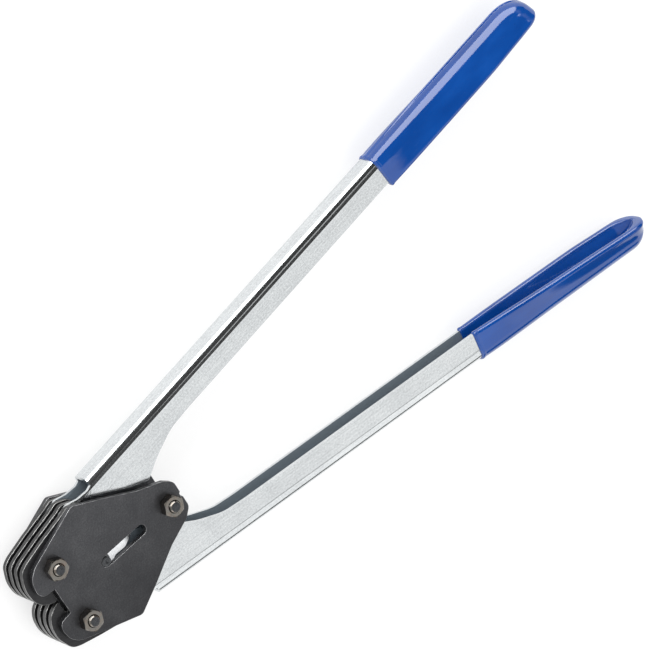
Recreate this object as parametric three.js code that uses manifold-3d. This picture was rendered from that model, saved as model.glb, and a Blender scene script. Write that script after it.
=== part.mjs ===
// Front-action strap seal crimper: laminated black head, two long channel handles with dipped grips.
// Millimetres, +Z up. X runs from the jaw noses to the grips, Y across the jaws, Z through the head's plates.
// Origin: centre of the rear bolt head's outer face.
import * as THREE from 'three';
import * as BufferGeometryUtils from 'three/addons/utils/BufferGeometryUtils.js';
import Module from 'manifold-3d';

const wasm = await Module();
wasm.setup();

// ---- driving dimensions -------------------------------------------------
const REAR_BOLT_X = 71.4;      // from the jaw pivot line to the rear bolt
const PIVOT_Y = 18;            // jaw pivots, each side of the axis
const PLATE_T = 3.2;           // side plates
const PLATE_OUT = 14.05;       // outer face of the side plates, from the mid-plane
const JAW_T = 3.16;            // jaw plates
const JAW_Z = [-7.58 - JAW_T, -4.66, 1.50, 7.58];   // lower face of each jaw plate
const ANVIL_T = 2.76;          // anvil plates in the gaps between jaws
const ANVIL_Z = [-4.74 - ANVIL_T, -1.38, 4.74];
const BOLT_R = 3.17;           // 1/4 in bolts
const BOLT_BORE_R = 3.24;
const HEX_AF = 11.1;           // nuts and bolt heads, across flats
const HEAD_H = 4.0;
const NUT_H = 5.5;
const BOLT_END = 1.6;          // thread end proud of the nut
const NUT_TURN = [32, 9, 8];   // corner angle of each nut: upper, lower, rear
const PIN_REST_X = 25.4;       // centre pin at rest (jaws closed)
const SLOT_END_X = 50.7;       // far end of the slot, pin centre
const PIN_END_R = 2.9;         // pin ends, in the slots
const PIN_MID_R = 4.0;         // pin barrel, in the handle ears
const SLOT_R = 3.0;
const DRIVE_Y = 28;            // jaw drive pins at rest, each side of the axis
const DRIVE_R = 3.0;
const WALL = 2.0;              // handle sheet
const CH_HALF = 7.5;           // half of the channel's outer width
const BEND_R = 4.25;           // outside bend radius
const CH_DEPTH = 16.5;
const HANDLE_DEG = 7.03;       // each handle's splay from the axis
const WEB_V = 34.54;           // web's outer face from the head's centre, square to the handle
const WEB_FRONT_X = 43.2;      // where the web is cut back at the head
const RIM_U = { upper: 283.6, lower: 280.8 };   // grip mouth, along the handle; the dip lines differ a little
const TIP_U = { upper: 416.0, lower: 412.8 };   // grip tip, along the handle
const LIP_DROP = { upper: 1.0, lower: 0 };      // the upper grip's coating hangs a little lower
const STEEL_END_U = 395;       // end of the steel channel, inside the grip
const VINYL = 1.95;            // grip coating, outside
const VINYL_IN = 0.85;         // grip coating, inside
const POCKET = 0.1;            // room between the steel and the coating
// the channel's walls splay outwards inside the grip: [distance along the handle, degrees]
const SPLAY = [[285, 0], [302, 5], [321, 11.5], [339, 17.5], [358, 22.5], [370, 25.5], [384, 28.5], [396, 30]];
// lower edge of the coating: [distance along the handle, height square to it]
const LIP = [[282.2, 17.1], [302, 17.6], [321, 18.3], [339, 18.9], [358, 19.4], [372, 19.8], [386, 20.6]];

const SEG = 24;
const D2R = Math.PI / 180;

// ---- helpers ------------------------------------------------------------
const V = (x, y) => new THREE.Vector2(x, y);

// closed polygon with rounded corners; each point is [x, y, radius, segments]
function rounded(points) {
  const out = [];
  const n = points.length;
  for (let i = 0; i < n; i++) {
    const [x, y, r = 0, seg = 5] = points[i];
    const p = V(x, y);
    if (!r) { out.push(p); continue; }
    const a = V(points[(i + n - 1) % n][0], points[(i + n - 1) % n][1]).sub(p);
    const b = V(points[(i + 1) % n][0], points[(i + 1) % n][1]).sub(p);
    const la = a.length(), lb = b.length();
    a.normalize(); b.normalize();
    const ang = Math.acos(THREE.MathUtils.clamp(a.dot(b), -1, 1));
    let d = r / Math.tan(ang / 2);
    const lim = 0.49 * Math.min(la, lb);
    let rr = r;
    if (d > lim) { d = lim; rr = d * Math.tan(ang / 2); }
    const c = a.clone().add(b).normalize().multiplyScalar(rr / Math.sin(ang / 2)).add(p);
    const s = p.clone().addScaledVector(a, d), e = p.clone().addScaledVector(b, d);
    let a0 = Math.atan2(s.y - c.y, s.x - c.x), a1 = Math.atan2(e.y - c.y, e.x - c.x);
    let da = a1 - a0;
    while (da > Math.PI) da -= 2 * Math.PI;
    while (da < -Math.PI) da += 2 * Math.PI;
    for (let k = 0; k <= seg; k++) {
      const t = a0 + da * k / seg;
      out.push(V(c.x + rr * Math.cos(t), c.y + rr * Math.sin(t)));
    }
  }
  return out;
}
function circle(x, y, r, seg = SEG, from = 0) {
  const out = [];
  for (let k = 0; k < seg; k++) {
    const t = from + 2 * Math.PI * k / seg;
    out.push(V(x + r * Math.cos(t), y + r * Math.sin(t)));
  }
  return out;
}
function slotLoop(x0, x1, y, r, seg = 12) {
  const out = [];
  for (let k = 0; k <= seg; k++) { const t = -Math.PI / 2 + Math.PI * k / seg; out.push(V(x1 + r * Math.cos(t), y + r * Math.sin(t))); }
  for (let k = 0; k <= seg; k++) { const t = Math.PI / 2 + Math.PI * k / seg; out.push(V(x0 + r * Math.cos(t), y + r * Math.sin(t))); }
  return out;
}
function hexagon(af, deg) {
  const r = af / Math.sqrt(3);
  return circle(0, 0, r, 6, deg * D2R);
}
// plate between z0 and z1
function plate(loop, z0, z1, holes = []) {
  const s = new THREE.Shape(loop);
  for (const h of holes) s.holes.push(new THREE.Path(h));
  const g = new THREE.ExtrudeGeometry(s, { depth: z1 - z0, bevelEnabled: false, curveSegments: 8 });
  g.translate(0, 0, z0);
  return g;
}
function weld(g) {
  const c = g.index ? g.clone() : g.clone();
  c.deleteAttribute('normal');
  if (c.attributes.uv) c.deleteAttribute('uv');
  return BufferGeometryUtils.mergeVertices(c, 1e-4);
}
function solid(g) {
  const w = weld(g);
  return new wasm.Manifold(new wasm.Mesh({
    numProp: 3,
    vertProperties: new Float32Array(w.attributes.position.array),
    triVerts: new Uint32Array(w.index.array),
  }));
}
function geometry(m) {
  const mesh = m.getMesh();
  const g = new THREE.BufferGeometry();
  const pos = new Float32Array(mesh.numVert * 3);
  for (let i = 0; i < mesh.numVert; i++) {
    pos[3 * i] = mesh.vertProperties[mesh.numProp * i];
    pos[3 * i + 1] = mesh.vertProperties[mesh.numProp * i + 1];
    pos[3 * i + 2] = mesh.vertProperties[mesh.numProp * i + 2];
  }
  g.setAttribute('position', new THREE.BufferAttribute(pos, 3));
  g.setIndex(new THREE.BufferAttribute(new Uint32Array(mesh.triVerts), 1));
  g.computeVertexNormals();
  return g;
}
// turned piece about the Z axis; profile is [r, z] from the axis back to the axis
function turned(profile, seg = SEG) {
  const g = new THREE.LatheGeometry(profile.map(([r, z]) => V(r, z)), seg);
  g.rotateX(Math.PI / 2);
  return g;
}
// the same solid on the other side of the axis
function mirrored(g) {
  const m = weld(g);
  m.scale(1, -1, 1);
  const i = m.index.array;
  for (let k = 0; k < i.length; k += 3) { const t = i[k]; i[k] = i[k + 1]; i[k + 1] = t; }
  m.computeVertexNormals();
  return m;
}

// ---- materials ----------------------------------------------------------
const finish = {
  plate: () => new THREE.MeshStandardMaterial({ color: 0x4a4b4e, roughness: 0.45, metalness: 0.85 }),
  jaw: () => new THREE.MeshStandardMaterial({ color: 0x55575a, roughness: 0.42, metalness: 0.85 }),
  fastener: () => new THREE.MeshStandardMaterial({ color: 0xb0a58e, roughness: 0.3, metalness: 0.95 }),
  dark: () => new THREE.MeshStandardMaterial({ color: 0x3a3c40, roughness: 0.4, metalness: 0.9 }),
  zinc: () => new THREE.MeshStandardMaterial({ color: 0xd9dde0, roughness: 0.32, metalness: 0.95 }),
  vinyl: () => new THREE.MeshStandardMaterial({ color: 0x144b9b, roughness: 0.18, metalness: 0.0 }),
};

const model = new THREE.Group();
const head = new THREE.Group();        // geometry below is drawn about the head's centre
head.position.set(-REAR_BOLT_X, 0, PLATE_OUT + HEAD_H);
model.add(head);
function add(name, g, mat) {
  const m = new THREE.Mesh(g, mat());
  m.name = name;
  head.add(m);
  return m;
}

// ---- side plates --------------------------------------------------------
const half = [   // rear to front along the upper edge
  [80.4, 1.6, 0.6, 3], [80.4, 8.4, 4.5, 5], [75.6, 12.9, 5, 4], [60.4, 19.0, 12, 3],
  [42.0, 29.5, 0], [25.9, 37.9, 3.6, 5], [-9.4, 24.9, 14, 5], [-14.2, 20.2, 9, 5],
  [-15.3, 12.8, 6, 4], [-13.2, 8.9, 4, 5], [-9.2, 8.5, 2, 2], [-6.1, 8.1, 0],
];
const sideLoop = rounded([
  [79.5, 0.9, 0], ...half,
  ...half.slice().reverse().map(([x, y, ...r]) => [x, -y, ...r]),
  [79.5, -0.9, 0],
]);
const boltHoles = [circle(0, PIVOT_Y, BOLT_BORE_R), circle(0, -PIVOT_Y, BOLT_BORE_R), circle(REAR_BOLT_X, 0, BOLT_BORE_R)];
const sideHoles = [...boltHoles, slotLoop(PIN_REST_X - 0.05, SLOT_END_X + 0.05, 0, SLOT_R)];
add('side_plate_front', plate(sideLoop, PLATE_OUT - PLATE_T, PLATE_OUT, sideHoles), finish.plate);
add('side_plate_rear', plate(sideLoop, -PLATE_OUT, -PLATE_OUT + PLATE_T, sideHoles), finish.plate);

// ---- anvil plates on the pivot bolts ------------------------------------
const anvilLoop = rounded([[-6.3, -25.2, 4], [7.6, -25.2, 6], [9.0, -8, 4], [9.0, 8, 4], [7.6, 25.2, 6], [-6.3, 25.2, 4]]);
['rear', 'middle', 'front'].forEach((n, i) => {
  add(`anvil_plate_${n}`, plate(anvilLoop, ANVIL_Z[i], ANVIL_Z[i] + ANVIL_T, boltHoles.slice(0, 2)), finish.plate);
});

// ---- jaws ---------------------------------------------------------------
const jawLoop = rounded([
  [-7.35, 1.2, 0.4, 2], [-7.35, 7.3, 0.8, 2], [-5.6, 8.5, 1, 2], [5.4, 8.6, 6, 4], [11.8, 12.2, 5, 3],
  [17.0, 19.2, 5, 3], [23.2, 18.75, 0], [28.0, 18.9, 3.5, 3], [32.6, 21.8, 4, 3], [35.0, 26.6, 4, 3], [34.4, 31.4, 4, 3],
  [31.2, 34.9, 3, 2], [24.8, 37.6, 4, 4], [20.1, 36.1, 0], [2.0, 31.9, 0], [-10.4, 28.5, 14, 4], [-15.2, 26.2, 9, 5],
  [-18.9, 16.8, 18, 6], [-18.1, 8.6, 14, 5], [-15.2, 3.8, 9, 4], [-11.2, 1.45, 0], [-8.4, 0.6, 0.6, 2],
]);
const jawHoles = [circle(0, PIVOT_Y, BOLT_BORE_R), circle(PIN_REST_X, DRIVE_Y, DRIVE_R + 0.05)];
JAW_Z.forEach((z, i) => {
  const g = plate(jawLoop, z, z + JAW_T, jawHoles);
  add(`upper_jaw_${i + 1}`, g, finish.jaw);
  add(`lower_jaw_${i + 1}`, mirrored(g), finish.jaw);
});
const PIN_L = 10.74;
const drive = turned([[0, -PIN_L], [DRIVE_R - 0.4, -PIN_L], [DRIVE_R, -PIN_L + 0.4], [DRIVE_R, PIN_L - 0.4], [DRIVE_R - 0.4, PIN_L], [0, PIN_L]]);
const driveUp = drive.clone(); driveUp.translate(PIN_REST_X, DRIVE_Y, 0);
add('upper_drive_pin', driveUp, finish.dark);
add('lower_drive_pin', mirrored(driveUp), finish.dark);

// ---- centre pin: stepped, its thin ends run in the slots ----------------
const S = PLATE_OUT - PLATE_T - 0.12;
const centre = turned([[0, -PLATE_OUT], [PIN_END_R - 0.3, -PLATE_OUT], [PIN_END_R, -PLATE_OUT + 0.3], [PIN_END_R, -S],
  [PIN_MID_R, -S], [PIN_MID_R, S], [PIN_END_R, S], [PIN_END_R, PLATE_OUT - 0.3], [PIN_END_R - 0.3, PLATE_OUT], [0.6, PLATE_OUT], [0, PLATE_OUT - 0.5]]);
centre.translate(PIN_REST_X, 0, 0);
add('centre_pin', centre, finish.dark);

// ---- bolts, nuts, spacer tube -------------------------------------------
const headZ0 = -PLATE_OUT - HEAD_H;
const cr = HEX_AF / 2;
function boltSolid(x, y, deg) {
  const hex = solid(plate(hexagon(HEX_AF, deg), headZ0, -PLATE_OUT));
  const cone = solid(turned([[0, headZ0], [cr - 0.15, headZ0], [cr + 1.6, headZ0 + 1.0], [cr + 1.6, -PLATE_OUT], [0, -PLATE_OUT]]));
  const end = PLATE_OUT + NUT_H + BOLT_END;
  const shank = solid(turned([[0, -PLATE_OUT - 1], [BOLT_R, -PLATE_OUT - 1], [BOLT_R, end - 0.8], [BOLT_R - 0.8, end], [0, end]]));
  const g = geometry(hex.intersect(cone).add(shank));
  g.translate(x, y, 0);
  return g;
}
function nutSolid(x, y, deg) {
  const z0 = PLATE_OUT, z1 = PLATE_OUT + NUT_H;
  const hex = solid(plate(hexagon(HEX_AF, deg), z0, z1, [circle(0, 0, BOLT_BORE_R)]));
  const cone = solid(turned([[0, z0], [cr + 0.1, z0], [cr + 1.6, z0 + 0.8], [cr + 1.6, z1 - 0.85], [cr - 0.1, z1], [0, z1]]));
  const g = geometry(hex.intersect(cone));
  g.translate(x, y, 0);
  return g;
}
[['upper_pivot', 0, PIVOT_Y], ['lower_pivot', 0, -PIVOT_Y], ['rear', REAR_BOLT_X, 0]].forEach(([n, x, y], i) => {
  add(`${n}_bolt`, boltSolid(x, y, NUT_TURN[i] + 14), finish.fastener);
  add(`${n}_nut`, nutSolid(x, y, NUT_TURN[i]), finish.fastener);
});
const tubeL = PLATE_OUT - PLATE_T - 0.02;
add('rear_spacer_tube', plate(circle(REAR_BOLT_X, 0, 6), -tubeL, tubeL, [circle(REAR_BOLT_X, 0, BOLT_BORE_R)]), finish.dark);

// ---- handles ------------------------------------------------------------
// handle axes: u along the handle, v square to it towards the web, both from the head's centre
const ca = Math.cos(HANDLE_DEG * D2R), sa = Math.sin(HANDLE_DEG * D2R);
const toUV = (x, y) => [x * ca + y * sa, -x * sa + y * ca];
const toXY = (u, v) => [u * ca - v * sa, u * sa + v * ca];

const splayAt = (u) => {
  if (u <= SPLAY[0][0]) return 0;
  for (let i = 1; i < SPLAY.length; i++) {
    const [u0, a0] = SPLAY[i - 1], [u1, a1] = SPLAY[i];
    if (u <= u1) return a0 + (a1 - a0) * (u - u0) / (u1 - u0);
  }
  return SPLAY[SPLAY.length - 1][1];
};

// section drawn in (v, z) and run along u; below the bends its walls lean out by the splay
function runAlong(loop, u0, u1) {
  const at = [u0, ...SPLAY.map(([u]) => u).filter((u) => u > u0 + 1 && u < u1 - 1), u1];
  const n = at.length - 1;
  // ExtrudeGeometry runs along its own Z: map (shape x, shape y, depth) to (v, z, u)
  const g = new THREE.ExtrudeGeometry(new THREE.Shape(loop), { depth: n, steps: n, bevelEnabled: false, curveSegments: 8 });
  const p = g.attributes.position;
  const vb = WEB_V - BEND_R;
  for (let i = 0; i < p.count; i++) {
    const u = at[Math.round(p.getZ(i))];
    const v = p.getX(i), z = p.getY(i);
    const lean = v < vb ? Math.sign(z) * Math.tan(splayAt(u) * D2R) * (vb - v) : 0;
    p.setXYZ(i, v, z + lean, u);
  }
  // basis: shape x -> handle v, shape y -> world z, depth -> handle u
  g.applyMatrix4(new THREE.Matrix4().makeBasis(new THREE.Vector3(-sa, ca, 0), new THREE.Vector3(0, 0, 1), new THREE.Vector3(ca, sa, 0)));
  return g;
}
const uLoop = (xy) => xy.map(([u, v, ...r]) => [...toXY(u, v), ...r]);

const web = WEB_V, free = WEB_V - CH_DEPTH;
const EDGE = free - LIP[0][1];    // coating over the free edges
const lipAt = (u) => {
  for (let i = 1; i < LIP.length; i++) if (u <= LIP[i][0]) return LIP[i - 1][1] + (LIP[i][1] - LIP[i - 1][1]) * (u - LIP[i - 1][0]) / (LIP[i][0] - LIP[i - 1][0]);
  return LIP[LIP.length - 1][1];
};
const frontTop = toXY(toUV(WEB_FRONT_X, 40.1)[0], web);
const channelSide = rounded([
  ...uLoop([[toUV(WEB_FRONT_X, 40.1)[0], web], [STEEL_END_U, web, 3, 3], [STEEL_END_U, lipAt(STEEL_END_U) + EDGE + 1, 3, 3], ...LIP.slice(1).reverse().map(([u, v]) => [u, v + EDGE]), [LIP[0][0], free], [toUV(112, 31.7)[0], free, 30, 7]]),
  [97.6, 29.6, 30, 7], [83.2, 22.9, 60, 5], [74.5, 17.3, 0], [60.0, 7.7, 0], [47.0, 7.7, 0], [WEB_FRONT_X, 14, 0],
]);
const WALL_V = [24, 17, 0];       // the walls are drawn in steps, so every splayed surface matches its neighbour
const section = (top, half, r, seg) => rounded([
  [top, -half, r, seg], [top, half, r, seg], ...WALL_V.map((v) => [v, half]), ...WALL_V.slice().reverse().map((v) => [v, -half]),
]);
const outerSection = section(web, CH_HALF, BEND_R, 8);
const hollowSection = section(web - WALL, CH_HALF - WALL, BEND_R - WALL, 6);

const earOuter = [
  [WEB_FRONT_X + 4, 34.6], [WEB_FRONT_X + 0.2, 36.2, 1.5, 4], [40.4, 34.9, 3, 4], [33.5, 35.0, 6, 4], [26.6, 36.8, 5, 5], [18.8, 34.9, 6, 6],
  [16.0, 28.0, 8, 5], [18.6, 17.0, 12, 4],
];
const earInner = [
  [18.2, 2.0, 7, 5], [19.0, -6.6, 6, 5], [28.4, -7.4, 6, 5], [33.5, -3.9, 3, 2], [40.5, -4.3, 5, 3], [47.2, -0.9, 6, 3], [74.5, 17.3, 0], [70, 30, 0],
];
const earLoop = rounded([...earOuter, ...earInner]);
const earHoles = () => [circle(PIN_REST_X, 0, PIN_MID_R + 0.07)];
// room for the drive pin, which rides with the jaws
const windowLoop = rounded([
  [PIN_REST_X - 3.55, DRIVE_Y + 3.4, 3.1, 5], [PIN_REST_X - 3.55, DRIVE_Y - 7.2, 3.1, 5],
  [PIN_REST_X + 4.6, DRIVE_Y - 7.2, 3.1, 5], [PIN_REST_X + 4.6, DRIVE_Y + 3.4, 3.1, 5],
]);

function makeHandle(joggled) {
  let body = solid(plate(channelSide, -24, 24))
    .intersect(solid(runAlong(outerSection, -20, STEEL_END_U + 10)));
  let ears;
  if (!joggled) {
    ears = solid(plate(earLoop, CH_HALF - WALL, CH_HALF)).add(solid(plate(earLoop, -CH_HALF, -CH_HALF + WALL)));
    body = body.subtract(solid(runAlong(hollowSection, -40, STEEL_END_U + 20)));
    body = body.add(ears);
  } else {
    // each ear steps inwards by one sheet between the drive pin and the centre pin
    const zo = CH_HALF, s = WALL + 0.08, y0 = 15.6, y1 = 12.6;
    const k = 0.45;
    const strip = (sign) => {
      const pts = [[60, zo], [y0 + k, zo], [y1 + k, zo - s], [-20, zo - s], [-20, zo - s - WALL], [y1 - k, zo - s - WALL], [y0 - k, zo - WALL], [60, zo - WALL]]
        .map(([y, z]) => V(y, sign * z));
      const sh = new THREE.Shape(pts);
      const g = new THREE.ExtrudeGeometry(sh, { depth: 80, bevelEnabled: false });
      // shape x -> world y, shape y -> world z, depth -> world x
      g.applyMatrix4(new THREE.Matrix4().makeBasis(new THREE.Vector3(0, 1, 0), new THREE.Vector3(0, 0, 1), new THREE.Vector3(1, 0, 0)));
      g.translate(5, 0, 0);
      return solid(g);
    };
    const outline = solid(plate(earLoop, -12, 12));
    ears = outline.intersect(strip(1).add(strip(-1)));
    body = body.subtract(solid(runAlong(hollowSection, -40, STEEL_END_U + 20)));
    body = body.subtract(outline.subtract(solid(plate(rounded([[0, 15.8], [90, 15.8], [90, 70], [0, 70]]), -13, 13))));
    body = body.add(ears);
  }
  const cut = solid(plate(circle(PIN_REST_X, 0, PIN_MID_R + 0.07), -20, 20)).add(solid(plate(windowLoop, -20, 20)));
  return body.subtract(cut);
}
add('upper_handle', geometry(makeHandle(false)), finish.zinc);
add('lower_handle', mirrored(geometry(makeHandle(true))), finish.zinc);

// ---- grips: dipped coating, outside and inside the channel --------------
const LIP_HALF = 15.4;           // half-width of the lips where the tip begins
const END_V = 22.4;              // height of the tip's foremost point
// rounded plan of the tip, as a prism to intersect with
function tipPlan(half, rim, from, to, n) {
  const out = [V(rim - 8, -30), V(from - 12, -30), V(from - 12, -half - 1.2), V(from, -half)];
  for (let k = 1; k < n; k++) {
    const t = -Math.PI / 2 + Math.PI * k / n;
    out.push(V(from + (to - from) * Math.cos(t), half * Math.sin(t)));
  }
  out.push(V(from, half), V(from - 12, half + 1.2), V(from - 12, 30), V(rim - 8, 30));
  const g = new THREE.ExtrudeGeometry(new THREE.Shape(out), { depth: 80, bevelEnabled: false });
  // shape x -> handle u, shape y -> world z, depth -> handle -v
  g.applyMatrix4(new THREE.Matrix4().makeBasis(new THREE.Vector3(ca, sa, 0), new THREE.Vector3(0, 0, 1), new THREE.Vector3(sa, -ca, 0)));
  g.translate(-sa * 60, ca * 60, 0);
  return solid(g);
}
// quarter ellipse from [from, top] down to [to, bottom]
const quarter = (from, top, to, bottom, n) => {
  const out = [];
  for (let k = 0; k <= n; k++) {
    const t = Math.PI / 2 * k / n;
    out.push([from + (to - from) * Math.sin(t), bottom + (top - bottom) * Math.cos(t)]);
  }
  return out;
};
function makeGrip(which) {
  const rim = RIM_U[which], tip = TIP_U[which], drop = LIP_DROP[which];
  const vo = web + VINYL;
  const lip = LIP.slice(1).map(([u, v]) => [u, v - drop]).reverse();
  const side = rounded(uLoop([[rim, vo, 0.9, 3], ...quarter(tip - 18, vo, tip, END_V, 8), [tip - 1.4, 20.9 - drop, 1.5, 2], [tip - 11, 21.1 - drop, 8, 2], ...lip, [rim, LIP[0][1] - drop, 0.9, 2]]));
  const sect = section(vo, CH_HALF + VINYL, BEND_R + VINYL, 7);
  let g = solid(plate(side, -24, 24)).intersect(solid(runAlong(sect, rim - 1, tip + 1)))
    .intersect(tipPlan(LIP_HALF, rim, tip - 15, tip, 12));
  // boat-shaped hollow, open on the free side
  const hz = CH_HALF - WALL - VINYL_IN, hv = web - WALL - VINYL_IN;
  const hs = section(hv, hz, 1.6, 4);
  const hollowSide = solid(plate(uLoop([[rim - 6, hv + 1], [tip - 18, hv + 1], ...quarter(tip - 18, hv, tip - 4.2, 20, 6).slice(1), [tip - 4.2, 5], [rim - 6, 5]]).map(([x, y]) => V(x, y)), -30, 30));
  g = g.subtract(solid(runAlong(hs, rim - 5, tip)).intersect(hollowSide).intersect(tipPlan(LIP_HALF - 4.6, rim, tip - 18, tip - 4.2, 10)));
  // pocket for the steel channel
  const c = POCKET;
  const pocketSide = solid(plate(uLoop([[rim - 4, web + c], [STEEL_END_U + 0.3, web + c], [STEEL_END_U + 0.3, lipAt(STEEL_END_U) + EDGE - c],
    ...LIP.slice(1).reverse().map(([u, v]) => [u, v + EDGE - c]), [LIP[0][0], free - c], [rim - 4, free - c]]).map(([x, y]) => V(x, y)), -30, 30));
  const po = section(web + c, CH_HALF + c, BEND_R + c, 8);
  const pi = section(web - WALL - c, CH_HALF - WALL - c, BEND_R - WALL - c, 6);
  const pocket = pocketSide.intersect(solid(runAlong(po, rim - 4, STEEL_END_U + 5)))
    .subtract(solid(runAlong(pi, rim - 9, STEEL_END_U + 9)));
  return g.subtract(pocket);
}
add('upper_grip', geometry(makeGrip('upper')), finish.vinyl);
add('lower_grip', mirrored(geometry(makeGrip('lower'))), finish.vinyl);

model.updateMatrixWorld(true);
export default model;
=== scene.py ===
import math
import bpy
import bmesh
import numpy as np
from mathutils import Vector, Matrix


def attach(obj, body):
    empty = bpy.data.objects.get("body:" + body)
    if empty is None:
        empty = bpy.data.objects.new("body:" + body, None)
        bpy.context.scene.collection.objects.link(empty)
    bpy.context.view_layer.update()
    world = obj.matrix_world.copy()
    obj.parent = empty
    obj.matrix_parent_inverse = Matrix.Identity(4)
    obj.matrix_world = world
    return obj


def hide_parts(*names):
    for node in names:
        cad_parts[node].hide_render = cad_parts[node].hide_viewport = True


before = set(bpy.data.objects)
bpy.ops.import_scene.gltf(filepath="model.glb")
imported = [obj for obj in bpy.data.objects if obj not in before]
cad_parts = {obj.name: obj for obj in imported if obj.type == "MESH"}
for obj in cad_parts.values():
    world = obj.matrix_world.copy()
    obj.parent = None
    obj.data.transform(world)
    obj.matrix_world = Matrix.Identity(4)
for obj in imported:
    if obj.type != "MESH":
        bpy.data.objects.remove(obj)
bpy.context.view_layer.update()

D2R = math.pi / 180

# ------------------------------------------------------------------ dimensions
# The head's own frame, in mm, is the one the parts were drawn in: its origin is midway between the jaw pivots.
HEAD = np.array([-71.4, 0.0, 18.05])
PLATE_OUT, PLATE_T, JAW_T, ANVIL_T = 14.05, 3.2, 3.16, 2.76
JAW_Z = [-7.58 - JAW_T, -4.66, 1.50, 7.58]
ANVIL_Z = [-4.74 - ANVIL_T, -1.38, 4.74]
PIVOT_Y, REAR_X = 18.0, 71.4
BORE_R = 3.24
PIN_X, SLOT_END, SLOT_R = 25.4, 50.7, 3.0
HEX_AF, HEAD_H, NUT_H, BOLT_END, BOLT_R = 11.1, 4.0, 5.5, 1.6, 3.17
NUT_TURN = {"upper_pivot": 32, "lower_pivot": 9, "rear": 8}
NUT_AT = {"upper_pivot": (0, PIVOT_Y), "lower_pivot": (0, -PIVOT_Y), "rear": (REAR_X, 0)}
DRIVE_Y, DRIVE_R = 28.0, 3.0
WEB_V, BEND_R, WALL, CH_HALF = 34.54, 4.25, 2.0, 7.5
HANDLE_DEG = 7.03
CA, SA = math.cos(HANDLE_DEG * D2R), math.sin(HANDLE_DEG * D2R)


def row(p):
    """Head-frame millimetres to row-frame metres."""
    return (np.asarray(p, float) + HEAD) / 1000.0


# ------------------------------------------------------------------ outlines
def rounded(points, fine=1.0):
    out = []
    n = len(points)
    for i, pt in enumerate(points):
        x, y = pt[0], pt[1]
        r = pt[2] if len(pt) > 2 else 0
        p = np.array([x, y], float)
        if not r:
            out.append(p)
            continue
        a = np.array(points[(i - 1) % n][:2], float) - p
        b = np.array(points[(i + 1) % n][:2], float) - p
        la, lb = np.linalg.norm(a), np.linalg.norm(b)
        a, b = a / la, b / lb
        ang = math.acos(max(-1, min(1, a @ b)))
        d = r / math.tan(ang / 2)
        lim = 0.49 * min(la, lb)
        rr = r
        if d > lim:
            d, rr = lim, lim * math.tan(ang / 2)
        c = (a + b) / np.linalg.norm(a + b) * rr / math.sin(ang / 2) + p
        s, e = p + a * d, p + b * d
        a0, a1 = math.atan2(s[1] - c[1], s[0] - c[0]), math.atan2(e[1] - c[1], e[0] - c[0])
        da = (a1 - a0 + math.pi) % (2 * math.pi) - math.pi
        seg = max(3, int(math.ceil(abs(da) / (6 * D2R) * fine)))
        for k in range(seg + 1):
            t = a0 + da * k / seg
            out.append(c + rr * np.array([math.cos(t), math.sin(t)]))
    return out


def circle(x, y, r, seg=56):
    return [np.array([x + r * math.cos(2 * math.pi * k / seg), y + r * math.sin(2 * math.pi * k / seg)]) for k in range(seg)]


def slot_loop(x0, x1, y, r, seg=24):
    out = [np.array([x1 + r * math.cos(t), y + r * math.sin(t)]) for t in np.linspace(-math.pi / 2, math.pi / 2, seg + 1)]
    out += [np.array([x0 + r * math.cos(t), y + r * math.sin(t)]) for t in np.linspace(math.pi / 2, 1.5 * math.pi, seg + 1)]
    return out


def area(loop):
    a = np.array(loop)
    b = np.roll(a, -1, 0)
    return 0.5 * float((a[:, 0] * b[:, 1] - b[:, 0] * a[:, 1]).sum())


HALF = [[80.4, 1.6, 0.6], [80.4, 8.4, 4.5], [75.6, 12.9, 5], [60.4, 19.0, 12], [42.0, 29.5, 10], [25.9, 37.9, 3.6],
        [-9.4, 24.9, 14], [-14.2, 20.2, 9], [-15.3, 12.8, 6], [-13.2, 8.9, 4], [-9.2, 8.5, 2], [-6.1, 8.1, 0.35]]
SIDE = [[79.5, 0.9, 0.3]] + HALF + [[p[0], -p[1]] + p[2:] for p in reversed(HALF)] + [[79.5, -0.9, 0.3]]
ANVIL = [[-6.3, -25.2, 4], [7.6, -25.2, 6], [9.0, -8, 4], [9.0, 8, 4], [7.6, 25.2, 6], [-6.3, 25.2, 4]]
JAW = [[-7.35, 1.2, 0.4], [-7.35, 7.3, 0.8], [-5.6, 8.5, 1], [5.4, 8.6, 6], [11.8, 12.2, 5],
       [17.0, 19.2, 5], [23.2, 18.75, 8], [28.0, 18.9, 3.5], [32.6, 21.8, 4], [35.0, 26.6, 4], [34.4, 31.4, 4],
       [31.2, 34.9, 3], [24.8, 37.6, 4], [20.1, 36.1, 0], [2.0, 31.9, 0], [-10.4, 28.5, 14], [-15.2, 26.2, 9],
       [-18.9, 16.8, 18], [-18.1, 8.6, 14], [-15.2, 3.8, 9], [-11.2, 1.45, 3], [-8.4, 0.6, 0.6]]


# ------------------------------------------------------------------ mesh helpers
def new_mesh(name, verts_mm, faces):
    me = bpy.data.meshes.new(name)
    me.from_pydata([tuple(row(v)) for v in verts_mm], [], faces)
    me.validate()
    me.update()
    return me


def link(me, name):
    ob = bpy.data.objects.new(name, me)
    bpy.context.scene.collection.objects.link(ob)
    return ob


def tidy(ob, dist=2e-6):
    bm = bmesh.new()
    bm.from_mesh(ob.data)
    bmesh.ops.remove_doubles(bm, verts=bm.verts, dist=dist)
    bmesh.ops.dissolve_degenerate(bm, dist=dist * 0.5, edges=bm.edges)
    bmesh.ops.recalc_face_normals(bm, faces=bm.faces)
    bm.to_mesh(ob.data)
    bm.free()
    ob.data.update()


def smooth(ob, angle=35):
    ob.data.shade_smooth()
    bm = bmesh.new()
    bm.from_mesh(ob.data)
    for e in bm.edges:
        e.smooth = not (len(e.link_faces) == 2 and e.calc_face_angle(0) > angle * D2R)
    bm.to_mesh(ob.data)
    bm.free()


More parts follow.
